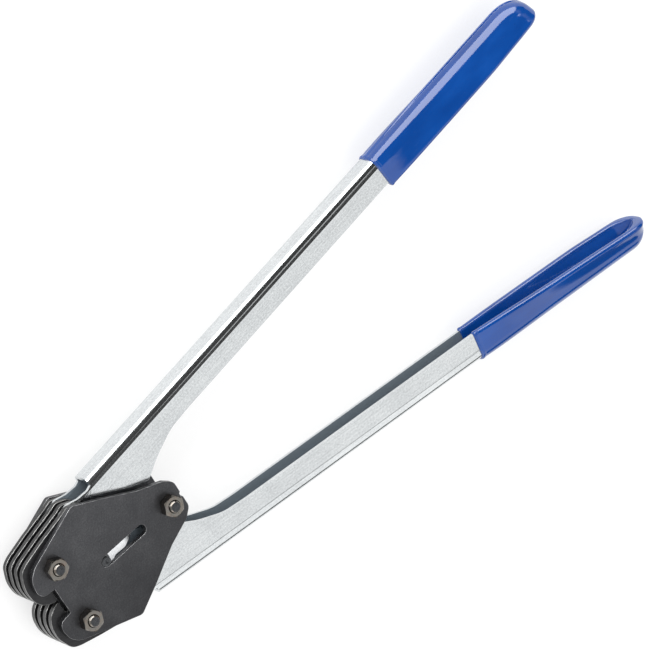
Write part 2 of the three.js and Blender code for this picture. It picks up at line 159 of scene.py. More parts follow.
def weighted(ob):
    m = ob.modifiers.new("normals", "WEIGHTED_NORMAL")
    m.keep_sharp = True
    m.weight = 80


def finish_piece(ob, node, body, material):
    ob.data.materials.clear()
    ob.data.materials.append(material)
    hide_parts(node)
    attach(ob, body)
    return ob


def plate_piece(name, outline, holes, z0, z1, bevel=0.22):
    """A blanked plate: filled outline with rounded edges, through thickness z0..z1 (head frame, mm)."""
    cu = bpy.data.curves.new(name, "CURVE")
    cu.dimensions = "2D"
    cu.fill_mode = "BOTH"
    cu.extrude = ((z1 - z0) / 2 - bevel) / 1000
    cu.bevel_depth = bevel / 1000
    cu.bevel_resolution = 2
    cu.offset = -bevel / 1000
    loops = [list(outline) if area(outline) > 0 else list(outline)[::-1]]
    loops += [list(h)[::-1] if area(h) > 0 else list(h) for h in holes]
    for lp in loops:
        sp = cu.splines.new("POLY")
        sp.points.add(len(lp) - 1)
        for p, q in zip(sp.points, lp):
            x, y, _ = row([q[0], q[1], 0])
            p.co = (x, y, 0, 1)
        sp.use_cyclic_u = True
    tmp = bpy.data.objects.new(name + "_c", cu)
    bpy.context.scene.collection.objects.link(tmp)
    dg = bpy.context.evaluated_depsgraph_get()
    me = bpy.data.meshes.new_from_object(tmp.evaluated_get(dg))
    bpy.data.objects.remove(tmp)
    bpy.data.curves.remove(cu)
    me.name = name
    zc = (HEAD[2] + (z0 + z1) / 2) / 1000
    me.transform(Matrix.Translation((0, 0, zc)))
    ob = link(me, name)
    tidy(ob, 1e-6)
    smooth(ob, 40)
    weighted(ob)
    return ob


def turned_piece(name, profile, x, y, seg=64, radial=None):
    """Turned piece: profile is [(r, z)...] from the axis back to the axis; radial(r, z, angle) may change the radius."""
    verts, rings = [], []
    for r, z in profile:
        if r < 1e-6:
            rings.append([len(verts)])
            verts.append((x, y, z))
        else:
            ids = []
            for k in range(seg):
                t = 2 * math.pi * k / seg
                rr = radial(r, z, t) if radial else r
                ids.append(len(verts))
                verts.append((x + rr * math.cos(t), y + rr * math.sin(t), z))
            rings.append(ids)
    faces = []
    for a, b in zip(rings, rings[1:]):
        for k in range(seg):
            k2 = (k + 1) % seg
            if len(a) == 1 and len(b) > 1:
                faces.append((a[0], b[k2], b[k]))
            elif len(b) == 1 and len(a) > 1:
                faces.append((a[k], a[k2], b[0]))
            elif len(a) > 1:
                faces.append((a[k], a[k2], b[k2], b[k]))
    ob = link(new_mesh(name, verts, faces), name)
    tidy(ob, 1e-7)
    smooth(ob, 38)
    return ob


def hex_piece(name, x, y, deg, z0, z1, bore=None, chamfer_low=0.15, chamfer_high=0.15, seg=96):
    """Hex nut or bolt head between z0 and z1, with the turned chamfers that leave arcs on the flats."""
    af = HEX_AF / 2
    rc = af - 0.12
    slope = math.tan(30 * D2R)
    ang = [2 * math.pi * k / seg + deg * D2R for k in range(seg)]

    def rh(t):
        q = (t - deg * D2R) % (math.pi / 3) - math.pi / 6
        r = af / math.cos(q)
        return min(r, af / math.cos(math.pi / 6) - 0.10)        # corners just broken
    verts, rings = [], []

    def ring(rfun, zfun):
        ids = []
        for t in ang:
            r = rfun(t)
            ids.append(len(verts))
            verts.append((x + r * math.cos(t), y + r * math.sin(t), zfun(t)))
        rings.append(ids)
    top = lambda t: z1 - max(0.0, rh(t) - rc) * slope * 1.15
    low = lambda t: z0 + max(0.0, rh(t) - rc) * slope * (1.15 if chamfer_low > 0.1 else 0.4)
    closed = bore is None
    if closed:
        c0 = len(verts); verts.append((x, y, z0))
        ring(lambda t: rc * 0.55, lambda t: z0)
    else:
        ring(lambda t: bore, lambda t: z0)
    ring(lambda t: rc - 0.25, lambda t: z0)
    ring(lambda t: rc, lambda t: z0 + 0.03)
    ring(rh, low)
    ring(rh, lambda t: low(t) + 0.12)
    ring(rh, lambda t: top(t) - 0.12)
    ring(rh, top)
    ring(lambda t: rc, lambda t: z1 - 0.03)
    ring(lambda t: rc - 0.25, lambda t: z1)
    if closed:
        ring(lambda t: rc * 0.55, lambda t: z1)
        c1 = len(verts); verts.append((x, y, z1))
    else:
        ring(lambda t: bore + 0.42, lambda t: z1)
        ring(lambda t: bore, lambda t: z1 - 0.45)
    faces = []
    pairs = list(zip(rings, rings[1:]))
    if not closed:
        pairs.append((rings[-1], rings[0]))
    for a, b in pairs:
        for k in range(seg):
            k2 = (k + 1) % seg
            faces.append((a[k], a[k2], b[k2], b[k]))
    if closed:
        for k in range(seg):
            k2 = (k + 1) % seg
            faces.append((c0, rings[0][k2], rings[0][k]))
            faces.append((rings[-1][k], rings[-1][k2], c1))
    ob = link(new_mesh(name, verts, faces), name)
    tidy(ob, 1e-7)
    smooth(ob, 17)
    weighted(ob)
    return ob


def join(a, b):
    """b's mesh goes into a's object."""
    bm = bmesh.new()
    bm.from_mesh(a.data)
    bm.from_mesh(b.data)
    bm.to_mesh(a.data)
    bm.free()
    bpy.data.objects.remove(b)
    return a


# ------------------------------------------------------------------ node materials
class Nodes:
    def __init__(self, name):
        self.mat = bpy.data.materials.new(name)
        self.mat.use_nodes = True
        self.t = self.mat.node_tree
        self.t.nodes.clear()
        self.out = self.t.nodes.new("ShaderNodeOutputMaterial")
        self.p = self.t.nodes.new("ShaderNodeBsdfPrincipled")
        self.t.links.new(self.p.outputs[0], self.out.inputs["Surface"])
        c = self.t.nodes.new("ShaderNodeTexCoord")
        self.obj = c.outputs["Object"]
        self.mm = self.mapping(self.obj, scale=(1000, 1000, 1000))

    def set(self, sock, v):
        if v is None:
            return
        if isinstance(v, bpy.types.NodeSocket):
            self.t.links.new(v, sock)
        elif isinstance(v, (tuple, list)) and len(v) == 3 and sock.type == "RGBA":
            sock.default_value = (*v, 1)
        else:
            sock.default_value = v

    def mapping(self, vec, scale=(1, 1, 1), rot=(0, 0, 0), loc=(0, 0, 0)):
        n = self.t.nodes.new("ShaderNodeMapping")
        self.t.links.new(vec, n.inputs["Vector"])
        n.inputs["Scale"].default_value = scale
        n.inputs["Rotation"].default_value = rot
        n.inputs["Location"].default_value = loc
        return n.outputs[0]

    def math(self, op, a, b=0.0, c=0.0, clamp=False):
        n = self.t.nodes.new("ShaderNodeMath")
        n.operation = op
        n.use_clamp = clamp
        self.set(n.inputs[0], a); self.set(n.inputs[1], b); self.set(n.inputs[2], c)
        return n.outputs[0]

    def noise(self, vec, scale=1.0, detail=3.0, rough=0.5, dist=0.0):
        n = self.t.nodes.new("ShaderNodeTexNoise")
        self.set(n.inputs["Vector"], vec)
        n.inputs["Scale"].default_value = scale
        n.inputs["Detail"].default_value = detail
        n.inputs["Roughness"].default_value = rough
        n.inputs["Distortion"].default_value = dist
        return n.outputs["Fac"]

    def voronoi(self, vec, scale=1.0, feature="F1", out="Distance", rnd=1.0):
        n = self.t.nodes.new("ShaderNodeTexVoronoi")
        n.feature = feature
        self.set(n.inputs["Vector"], vec)
        n.inputs["Scale"].default_value = scale
        n.inputs["Randomness"].default_value = rnd
        return n.outputs[out]

    def ramp(self, fac, stops, interp="LINEAR"):
        n = self.t.nodes.new("ShaderNodeValToRGB")
        n.color_ramp.interpolation = interp
        el = n.color_ramp.elements
        while len(el) < len(stops):
            el.new(0.5)
        for e, (pos, col) in zip(el, stops):
            e.position = pos
            e.color = (*col, 1) if isinstance(col, (tuple, list)) else (col, col, col, 1)
        self.set(n.inputs[0], fac)
        return n.outputs[0]

    def rng(self, v, a, b, c=0.0, d=1.0, kind="SMOOTHSTEP"):
        n = self.t.nodes.new("ShaderNodeMapRange")
        n.interpolation_type = kind
        n.clamp = True if kind == "LINEAR" else n.clamp
        self.set(n.inputs["Value"], v)
        n.inputs["From Min"].default_value = a
        n.inputs["From Max"].default_value = b
        n.inputs["To Min"].default_value = c
        n.inputs["To Max"].default_value = d
        return n.outputs[0]

    def mix(self, fac, a, b, kind="MIX"):
        n = self.t.nodes.new("ShaderNodeMix")
        n.data_type = "RGBA"
        n.blend_type = kind
        self.set(n.inputs[0], fac); self.set(n.inputs[6], a); self.set(n.inputs[7], b)
        return n.outputs[2]

    def bump(self, height, strength=0.2, dist=0.0002, normal=None):
        n = self.t.nodes.new("ShaderNodeBump")
        n.inputs["Strength"].default_value = strength
        n.inputs["Distance"].default_value = dist
        self.set(n.inputs["Height"], height)
        if normal is not None:
            self.set(n.inputs["Normal"], normal)
        return n.outputs[0]

    def normal_axis(self, axis="Z"):
        g = self.t.nodes.new("ShaderNodeTexCoord")
        s = self.t.nodes.new("ShaderNodeSeparateXYZ")
        self.t.links.new(g.outputs["Normal"], s.inputs[0])
        return s.outputs[axis]

    def put(self, **kw):
        for k, v in kw.items():
            self.set(self.p.inputs[k.replace("_", " ")], v)
        return self.mat


def black_plate(name, tone=1.0, edge=0.30, turn=-52):
    """Blackened plate: fine grinding marks on the faces, brighter broken edges, small pale specks."""
    m = Nodes(name)
    grain_v = m.mapping(m.mm, rot=(0, 0, turn * D2R), scale=(1, 1, 1))
    g1 = m.noise(m.mapping(grain_v, scale=(0.12, 3.2, 1)), 1.0, 4, 0.6)
    g2 = m.noise(m.mapping(grain_v, scale=(0.5, 9.0, 1)), 1.0, 3, 0.6)
    cloud = m.noise(m.mm, 0.075, 4, 0.55)
    specks = m.rng(m.voronoi(m.mm, 0.55), 0.10, 0.035)
    speck_n = m.rng(m.noise(m.mm, 0.23, 2), 0.52, 0.62)
    nz = m.math("ABSOLUTE", m.normal_axis("Z"))
    face = m.rng(nz, 0.90, 0.985)
    side = m.rng(nz, 0.35, 0.10)
    rim = m.math("SUBTRACT", 1.0, m.math("MAXIMUM", face, side))
    peb = m.noise(m.mm, 1.15, 3, 0.75)
    base = m.ramp(m.math("MULTIPLY_ADD", g1, 0.22, m.math("MULTIPLY_ADD", peb, 0.45, m.math("MULTIPLY", cloud, 0.33))),
                  [(0.32, (0.046 * tone, 0.047 * tone, 0.051 * tone)), (0.50, (0.076 * tone, 0.077 * tone, 0.082 * tone)), (0.68, (0.122 * tone, 0.123 * tone, 0.129 * tone))])
    base = m.mix(m.math("MULTIPLY", m.rng(g2, 0.60, 0.75), 0.35), base, (0.13 * tone, 0.13 * tone, 0.135 * tone))
    base = m.mix(m.math("MULTIPLY", m.math("MULTIPLY", specks, speck_n), 0.5), base, (0.24, 0.24, 0.24))
    base = m.mix(m.math("MULTIPLY", rim, m.rng(m.noise(m.mm, 0.35, 3), 0.35, 0.62, 0.35, 1.0)), base, (edge, edge, edge * 1.02))
    base = m.mix(side, base, (0.060 * tone, 0.061 * tone, 0.065 * tone))
    hy = m.t.nodes.new("ShaderNodeSeparateXYZ")
    m.t.links.new(m.mm, hy.inputs[0])
    # the plate is made darker towards -Y (x0.72) and lighter towards +Y (x1.12) of the head frame, the border blurred
    # by cloud noise
    plate_y_ramp = m.rng(m.math("ADD", hy.outputs[1], m.math("MULTIPLY", m.math("SUBTRACT", cloud, 0.5), 30.0)), -35, 25, 0.72, 1.12, "LINEAR")
    base = m.mix(1.0, base, plate_y_ramp, "MULTIPLY")
    rough = m.math("ADD", m.rng(cloud, 0.3, 0.7, 0.36, 0.50), m.math("MULTIPLY", m.math("SUBTRACT", g1, 0.5), 0.22))
    h = m.math("ADD", m.math("MULTIPLY", g1, 0.35), m.math("MULTIPLY", peb, 0.65))
    return m.put(Base_Color=base, Metallic=0.80, Roughness=rough, Normal=m.bump(h, 0.28, 0.00009))


def jaw_metal(name, face_tone, side_tone):
    """Blackened jaw plate: dark faces, brighter edges that are partly wear and partly painted highlight, with the
    striations that blanking leaves.
    """
    m = Nodes(name)
    nz = m.math("ABSOLUTE", m.normal_axis("Z"))
    side = m.rng(nz, 0.55, 0.15)
    face = m.rng(nz, 0.90, 0.985)
    band = m.math("SUBTRACT", 1.0, m.math("MAXIMUM", face, side))
    stri = m.noise(m.mapping(m.mm, scale=(5.5, 5.5, 0.35)), 1.0, 3, 0.6)
    lap = m.noise(m.mapping(m.mm, scale=(0.5, 0.5, 4.5)), 1.0, 3, 0.6)
    patch = m.noise(m.mm, 0.22, 4, 0.6)
    fr = m.noise(m.mapping(m.mapping(m.mm, rot=(0, 0, 0.6)), scale=(0.2, 3.0, 1)), 1.0, 4, 0.6)
    fcol = m.ramp(m.math("MULTIPLY_ADD", fr, 0.6, m.math("MULTIPLY", patch, 0.4)), [(0.3, tuple(face_tone * k for k in (0.7, 0.7, 0.73))), (0.7, tuple(face_tone * k for k in (1.25, 1.25, 1.3)))])
    mixv = m.math("MULTIPLY_ADD", stri, 0.45, m.math("MULTIPLY_ADD", patch, 0.35, m.math("MULTIPLY", lap, 0.2)))
    scol = m.ramp(mixv, [(0.32, tuple(side_tone * k for k in (0.50, 0.50, 0.51))), (0.52, (side_tone,) * 3), (0.72, tuple(side_tone * k for k in (1.5, 1.5, 1.49)))])
    col = m.mix(side, fcol, scol)
    # the band between face and edge is painted lighter: partly edge wear, partly a painted highlight along the bevel
    col = m.mix(m.math("MULTIPLY", band, m.rng(patch, 0.38, 0.6, 0.35, 1.0)), col, (0.42, 0.42, 0.41))
    rough = m.rng(mixv, 0.3, 0.7, 0.30, 0.50)
    h = m.math("ADD", m.math("MULTIPLY", stri, 0.6), m.math("MULTIPLY", lap, 0.4))
    return m.put(Base_Color=col, Metallic=0.85, Roughness=rough, Normal=m.bump(h, 0.25, 0.00008))


def zinc_sheet(name, turn, sgn):
    """Bright zinc-plated sheet: cloudy spangle, fine drawing lines along the handle, small nicks and dust; painted
    shade inside the channel and a painted glowing highlight on the ears.
    """
    m = Nodes(name)
    along = m.mapping(m.mm, rot=(0, 0, turn * D2R))
    cloud = m.noise(m.mm, 0.06, 4, 0.6, 0.4)
    mott = m.noise(m.mm, 0.9, 3, 0.7)
    grain = m.noise(m.mm, 2.2, 2, 0.7)
    draw = m.noise(m.mapping(along, scale=(0.02, 1.6, 1.6)), 1.0, 4, 0.65)
    nick = m.rng(m.voronoi(m.mapping(along, scale=(0.045, 0.22, 0.22)), 1.0), 0.085, 0.03)
    dust = m.math("MULTIPLY", m.rng(m.voronoi(m.mm, 0.42), 0.075, 0.03), m.rng(m.noise(m.mm, 0.045, 2), 0.48, 0.6))
    mixed = m.math("MULTIPLY_ADD", cloud, 0.20, m.math("MULTIPLY_ADD", mott, 0.50, m.math("MULTIPLY", draw, 0.30)))
    v = mixed
    col = m.ramp(v, [(0.38, (0.57, 0.59, 0.60)), (0.50, (0.685, 0.71, 0.72)), (0.62, (0.79, 0.815, 0.82))])
    col = m.mix(m.math("MULTIPLY", nick, 0.35), col, (0.42, 0.43, 0.44))
    col = m.mix(m.math("MULTIPLY", dust, 0.55), col, (0.30, 0.31, 0.31))
    rough = m.math("ADD", m.rng(v, 0.3, 0.7, 0.21, 0.13), m.math("MULTIPLY", m.math("SUBTRACT", grain, 0.5), 0.08))
    h = m.math("MULTIPLY_ADD", mott, 0.45, m.math("MULTIPLY_ADD", draw, 0.4, m.math("MULTIPLY", grain, 0.15)))
    h = m.math("SUBTRACT", h, m.math("MULTIPLY", nick, 0.5))
    # across the channel: v is the distance from the tool's axis, square to the handle
    sp = m.t.nodes.new("ShaderNodeSeparateXYZ")
    m.t.links.new(m.mm, sp.inputs[0])
    v = m.math("ADD", m.math("MULTIPLY", m.math("ADD", sp.outputs[0], 71.4), -SA), m.math("MULTIPLY", sp.outputs[1], CA * sgn))
    hz = m.math("ABSOLUTE", m.math("SUBTRACT", sp.outputs[2], 18.05))
    # painted shade: inside the channel the base colour is set by position to a dark blue-grey and made less metallic,
    # standing in for the shade in the channel's hollow
    inside = m.math("MULTIPLY", m.rng(hz, 5.72, 5.52), m.rng(v, 32.7, 32.4))
    col = m.mix(m.math("MULTIPLY", inside, 0.92), col, (0.17, 0.21, 0.245))
    ux, uy = m.math("ADD", sp.outputs[0], 71.4), m.math("ABSOLUTE", sp.outputs[1])
    # painted highlight: a patch on the ears under the slot is made near-white, less metallic and glowing (emission
    # 0.5), standing in for the bright reflection seen through the slot
    ear_painted_glow = m.math("MULTIPLY", m.math("MULTIPLY", m.rng(ux, 14, 20), m.rng(ux, 46, 41)), m.math("MULTIPLY", m.rng(uy, 10, 7), m.rng(hz, 6.2, 6.8)))
    ease = m.rng(v, 28.9, 30.5, 0.0, 1.0, "LINEAR")
    ridge = m.math("MULTIPLY", m.rng(v, 28.2, 28.75), m.rng(v, 29.3, 28.75))
    n1 = m.bump(m.math("SUBTRACT", m.math("MULTIPLY", ridge, 0.20), ease), 1.0, 0.00022)
    col = m.mix(ear_painted_glow, col, (0.93, 0.94, 0.95))
    # less metallic under the painted channel shade and under the painted ear highlight
    metal = m.math("SUBTRACT", m.math("SUBTRACT", 1.0, m.math("MULTIPLY", ear_painted_glow, 0.9)), m.math("MULTIPLY", inside, 0.75))
    # the emission glows only on the painted ear highlight patch
    return m.put(Base_Color=col, Metallic=metal, Roughness=rough, Normal=m.bump(h, 0.10, 0.00010, n1), Emission_Color=(0.95, 0.97, 1.0), Emission_Strength=m.math("MULTIPLY", ear_painted_glow, 0.50))


def passivated(name):
    """Yellow-passivated zinc on the nuts and bolts: warm, with rose and olive casts."""
    m = Nodes(name)
    a = m.noise(m.mm, 0.35, 3, 0.6, 0.5)
    b = m.noise(m.mapping(m.mm, loc=(31, 7, 3)), 0.8, 3, 0.6)
    tool = m.noise(m.mapping(m.mm, scale=(1, 1, 6)), 1.0, 3, 0.6)
    col = m.ramp(a, [(0.30, (0.235, 0.19, 0.165)), (0.45, (0.225, 0.205, 0.18)), (0.58, (0.205, 0.20, 0.185)), (0.72, (0.255, 0.21, 0.20))])
    col = m.mix(m.rng(b, 0.50, 0.72, 0.0, 0.5), col, (0.15, 0.13, 0.11))
    rough = m.math("ADD", m.rng(b, 0.3, 0.7, 0.14, 0.24), m.math("MULTIPLY", m.math("SUBTRACT", tool, 0.5), 0.12))
    return m.put(Base_Color=col, Metallic=1.0, Roughness=rough, Normal=m.bump(m.math("ADD", tool, m.math("MULTIPLY", b, 0.5)), 0.06, 0.00005))


def dark_steel(name, tone=0.20):
    """Hardened turned steel: concentric tool marks, oiled."""
    m = Nodes(name)
    a = m.noise(m.mm, 0.6, 4, 0.6)
    b = m.noise(m.mapping(m.mm, scale=(2.4, 2.4, 5)), 1.0, 3, 0.6)
    col = m.ramp(a, [(0.3, (tone * 0.65, tone * 0.68, tone * 0.74)), (0.7, (tone * 1.3, tone * 1.34, tone * 1.4))])
    return m.put(Base_Color=col, Metallic=0.95, Roughness=m.rng(b, 0.3, 0.7, 0.22, 0.38), Normal=m.bump(b, 0.15, 0.00006))


def dipped_vinyl(name, turn):
    """Dipped vinyl: glossy, with the slow waves, sags and few pin-holes that dipping leaves."""
    m = Nodes(name)
    along = m.mapping(m.mm, rot=(0, 0, turn * D2R))
    wave = m.noise(m.mapping(along, scale=(0.035, 0.10, 0.10)), 1.0, 3, 0.5)
    peel = m.noise(m.mm, 0.55, 2, 0.5)
    fine = m.noise(m.mm, 2.6, 2, 0.5)
    pin = m.rng(m.voronoi(m.mm, 0.16), 0.05, 0.02)
    scuff = m.rng(m.noise(m.mapping(along, scale=(0.10, 1.3, 1.3), rot=(0, 0, 0.35)), 1.0, 3, 0.7), 0.63, 0.74)
    col = m.ramp(wave, [(0.32, (0.0022, 0.048, 0.250)), (0.52, (0.0030, 0.056, 0.280)), (0.72, (0.0045, 0.066, 0.315))])
    col = m.mix(m.math("MULTIPLY", scuff, 0.10), col, (0.10, 0.20, 0.50))
    col = m.mix(m.math("MULTIPLY", pin, 0.5), col, (0.002, 0.02, 0.10))
    rough = m.math("ADD", m.rng(peel, 0.3, 0.7, 0.055, 0.085), m.math("MULTIPLY", scuff, 0.08))
    h = m.math("MULTIPLY_ADD", wave, 0.8, m.math("MULTIPLY_ADD", peel, 0.14, m.math("MULTIPLY", fine, 0.02)))
    h = m.math("SUBTRACT", h, m.math("MULTIPLY", pin, 0.12))
    return m.put(Base_Color=col, Metallic=0.0, Roughness=rough, IOR=1.54, Specular_IOR_Level=0.60,
                 Normal=m.bump(h, 0.16, 0.0006), Coat_Weight=0.15, Coat_Roughness=0.04)


M_PLATE = black_plate("blackened_plate", 0.98, 0.42)
M_ANVIL = black_plate("blackened_anvil", 0.8, 0.2, 20)
# painted light: upper and lower jaws are the same steel, but the lower jaws' edge faces are painted lighter (0.11) than
# the upper jaws' (0.062) for how the light falls on them
M_JAW_U = jaw_metal("upper_jaw_steel", 0.050, 0.062)
M_JAW_L = jaw_metal("lower_jaw_steel", 0.050, 0.11)
M_ZINC_U = zinc_sheet("zinc_upper_handle", -HANDLE_DEG, 1)
M_ZINC_L = zinc_sheet("zinc_lower_handle", HANDLE_DEG, -1)
M_NUT = passivated("passivated_zinc")
M_BOLT = passivated("passivated_zinc_bolts")
M_PIN = dark_steel("dark_turned_steel", 0.085)
M_THREAD = dark_steel("dark_thread_end", 0.075)
M_VINYL_U = dipped_vinyl("vinyl_upper_grip", -HANDLE_DEG)
M_VINYL_L = dipped_vinyl("vinyl_lower_grip", HANDLE_DEG)

# ------------------------------------------------------------------ head plates and jaws
side = rounded(SIDE)
bolt_holes = [circle(0, PIVOT_Y, BORE_R), circle(0, -PIVOT_Y, BORE_R), circle(REAR_X, 0, BORE_R)]
side_holes = bolt_holes + [slot_loop(PIN_X - 0.05, SLOT_END + 0.05, 0, SLOT_R)]
for nm, z0, z1 in (("side_plate_front", PLATE_OUT - PLATE_T, PLATE_OUT), ("side_plate_rear", -PLATE_OUT, -PLATE_OUT + PLATE_T)):
    ob = plate_piece(nm + "_fine", side, side_holes, z0, z1, 0.20)
    finish_piece(ob, nm, "head", M_PLATE)

anvil = rounded(ANVIL)
for nm, z in zip(("rear", "middle", "front"), ANVIL_Z):
    ob = plate_piece(f"anvil_plate_{nm}_fine", anvil, bolt_holes[:2], z, z + ANVIL_T, 0.15)
    finish_piece(ob, f"anvil_plate_{nm}", "head", M_ANVIL)

for which, sgn, mat in (("upper", 1, M_JAW_U), ("lower", -1, M_JAW_L)):
    jaw = [np.array([p[0], sgn * p[1]]) for p in rounded(JAW)]
    holes = [circle(0, sgn * PIVOT_Y, BORE_R), circle(PIN_X, sgn * DRIVE_Y, DRIVE_R + 0.05)]
    for i, z in enumerate(JAW_Z):
        nm = f"{which}_jaw_{i + 1}"
        ob = plate_piece(nm + "_fine", jaw, holes, z, z + JAW_T, 0.34)
        finish_piece(ob, nm, f"{which}_jaws", mat)
    pin = turned_piece(f"{which}_drive_pin_fine",
                       [(0, -10.74), (DRIVE_R - 0.5, -10.74), (DRIVE_R - 0.15, -10.65), (DRIVE_R, -10.3), (DRIVE_R, 10.3), (DRIVE_R - 0.15, 10.65), (DRIVE_R - 0.5, 10.74), (0, 10.74)],
                       PIN_X, sgn * DRIVE_Y, 56)
    finish_piece(pin, f"{which}_drive_pin", f"{which}_jaws", M_PIN)

# ------------------------------------------------------------------ centre pin, spacer tube
S = PLATE_OUT - PLATE_T - 0.12
E = 2.9
pin = turned_piece("centre_pin_fine", [
    (0, -PLATE_OUT), (E - 0.45, -PLATE_OUT), (E - 0.12, -PLATE_OUT + 0.1), (E, -PLATE_OUT + 0.4), (E, -S), (3.85, -S), (4.0, -S + 0.15),
    (4.0, S - 0.15), (3.85, S), (E, S), (E, PLATE_OUT - 0.4), (E - 0.12, PLATE_OUT - 0.1), (E - 0.45, PLATE_OUT),
    (1.05, PLATE_OUT), (0.85, PLATE_OUT - 0.06), (0.4, PLATE_OUT - 0.42), (0, PLATE_OUT - 0.5)], PIN_X, 0, 64)
finish_piece(pin, "centre_pin", "slide_pin", M_PIN)

tl = PLATE_OUT - PLATE_T - 0.02
tube = turned_piece("rear_spacer_tube_fine", [(BORE_R, -tl), (5.8, -tl), (6.0, -tl + 0.2), (6.0, tl - 0.2), (5.8, tl), (BORE_R, tl), (BORE_R, -tl)], REAR_X, 0, 72)
finish_piece(tube, "rear_spacer_tube", "head", M_PIN)


# ------------------------------------------------------------------ bolts and nuts
def thread(r, z, t):
    if r < BOLT_R - 0.02 or z < PLATE_OUT - 1.0:
        return r
    ph = (z / 1.27 - t / (2 * math.pi)) % 1.0
    return r - 0.34 * (1 - abs(2 * ph - 1)) * min(1.0, max(0.0, (z - PLATE_OUT + 1.0)))


for nm in ("upper_pivot", "lower_pivot", "rear"):
    x, y = NUT_AT[nm]
    turn = NUT_TURN[nm]
    nut = hex_piece(nm + "_nut_fine", x, y, turn, PLATE_OUT, PLATE_OUT + NUT_H, bore=BORE_R)
    finish_piece(nut, nm + "_nut", "head", M_NUT)
    end = PLATE_OUT + NUT_H + BOLT_END
    prof = [(0, -PLATE_OUT - 0.4), (BOLT_R, -PLATE_OUT - 0.4), (BOLT_R, PLATE_OUT - 1.0)]
    prof += [(BOLT_R, z) for z in np.arange(PLATE_OUT - 0.9, end - 0.62, 0.13)]
    prof += [(BOLT_R - 0.06, end - 0.60), (BOLT_R - 0.50, end - 0.12), (BOLT_R - 0.62, end - 0.02), (BOLT_R - 0.75, end), (1.2, end), (0, end)]
    bolt = turned_piece(nm + "_bolt_fine", prof, x, y, 72, thread)
    hexh = hex_piece(nm + "_bolt_head", x, y, turn + 14, -PLATE_OUT - HEAD_H, -PLATE_OUT, None, 0.15, 0.0)
    ob = join(bolt, hexh)
    finish_piece(ob, nm + "_bolt", "head", M_BOLT)
    ob.data.materials.append(M_THREAD)
    zend = (HEAD[2] + end) / 1000
    for p in ob.data.polygons:
        if p.center.z > zend - 0.0009 and abs(p.normal.z) > 0.9:
            p.material_index = 1

# ------------------------------------------------------------------ handles
for which, mat in (("upper", M_ZINC_U), ("lower", M_ZINC_L)):
    node = f"{which}_handle"
    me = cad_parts[node].data.copy()
    me.name = node + "_fine"
    ob = link(me, node + "_fine")
    bm = bmesh.new()
    bm.from_mesh(me)
    bmesh.ops.remove_doubles(bm, verts=bm.verts, dist=4e-6)
    bmesh.ops.dissolve_limit(bm, angle_limit=1.2 * D2R, verts=bm.verts, edges=bm.edges, use_dissolve_boundaries=False)
    bmesh.ops.recalc_face_normals(bm, faces=bm.faces)
    bm.to_mesh(me)
    bm.free()
    if me.has_custom_normals:
        ob.select_set(True)
        bpy.context.view_layer.objects.active = ob
        bpy.ops.mesh.customdata_custom_splitnormals_clear()
    smooth(ob, 30)
    bv = ob.modifiers.new("edges", "BEVEL")
    bv.width = 0.00022
    bv.segments = 2
    bv.limit_method = "ANGLE"
    bv.angle_limit = 40 * D2R
    bv.harden_normals = False
    weighted(ob)
    finish_piece(ob, node, node, mat)


# ------------------------------------------------------------------ grips
SPLAY = np.array([[280, 0], [285, 0.4], [302, 5], [321, 11.5], [339, 17.5], [358, 22.5], [370, 25.5], [384, 28.5], [396, 30], [440, 30]])
LIP = np.array([[278, 17.0], [282.2, 17.1], [302, 17.6], [321, 18.3], [339, 18.9], [358, 19.4], [372, 19.8], [386, 20.6], [403, 21.3], [440, 22]])
GRIP = {
    "upper": dict(rim=283.6, tip=416.3, drop=2.0, coat=1.70, side=2.05, fall=21.0, ease=(1.4, 1.2), plan=(14.0, 2.25), rise=11.0),
    "lower": dict(rim=280.8, tip=412.8, drop=0.0, coat=2.00, side=1.95, fall=13.5, ease=(0.7, 0.0), plan=(12.5, 2.1), rise=10.0),
}
END_V = 22.4
LIP_HALF = 15.4


def ellipse(k, p=2.0):
    k = min(1.0, max(0.0, k))
    return (1 - k ** p) ** (1 / p)


